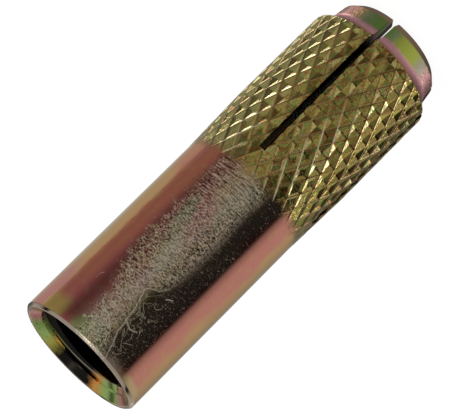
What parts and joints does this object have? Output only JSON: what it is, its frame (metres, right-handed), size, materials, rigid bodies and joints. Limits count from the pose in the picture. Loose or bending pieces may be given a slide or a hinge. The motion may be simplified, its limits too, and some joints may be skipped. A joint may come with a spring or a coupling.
{
  "type": "drop-in anchor",
  "caption": "Slotted steel sleeve anchor with a knurled expanding end, an internally threaded mouth and a loose expander plug inside.",
  "frame": {"origin": "centre of the nose's end face, on which the anchor stands", "axes": "+Z along the sleeve's axis and out of its threaded mouth; the slots lie on the X and Y axes"},
  "size_m": [0.0208, 0.0208, 0.065],
  "materials": {
    "plated_sleeve": "yellow chromate over bright zinc, iridescent",
    "plated_plug": "yellow chromate over zinc, satin"
  },
  "bodies": {
    "sleeve_body": {"sleeve": "plated_sleeve"},
    "plug_body": {"expander_plug": "plated_plug"}
  },
  "joints": [
    {"name": "plug_slide", "type": "slide", "parent": "sleeve_body", "child": "plug_body", "axis": [0, 0, -1], "range_m": [0, 0.009]}
  ]
}
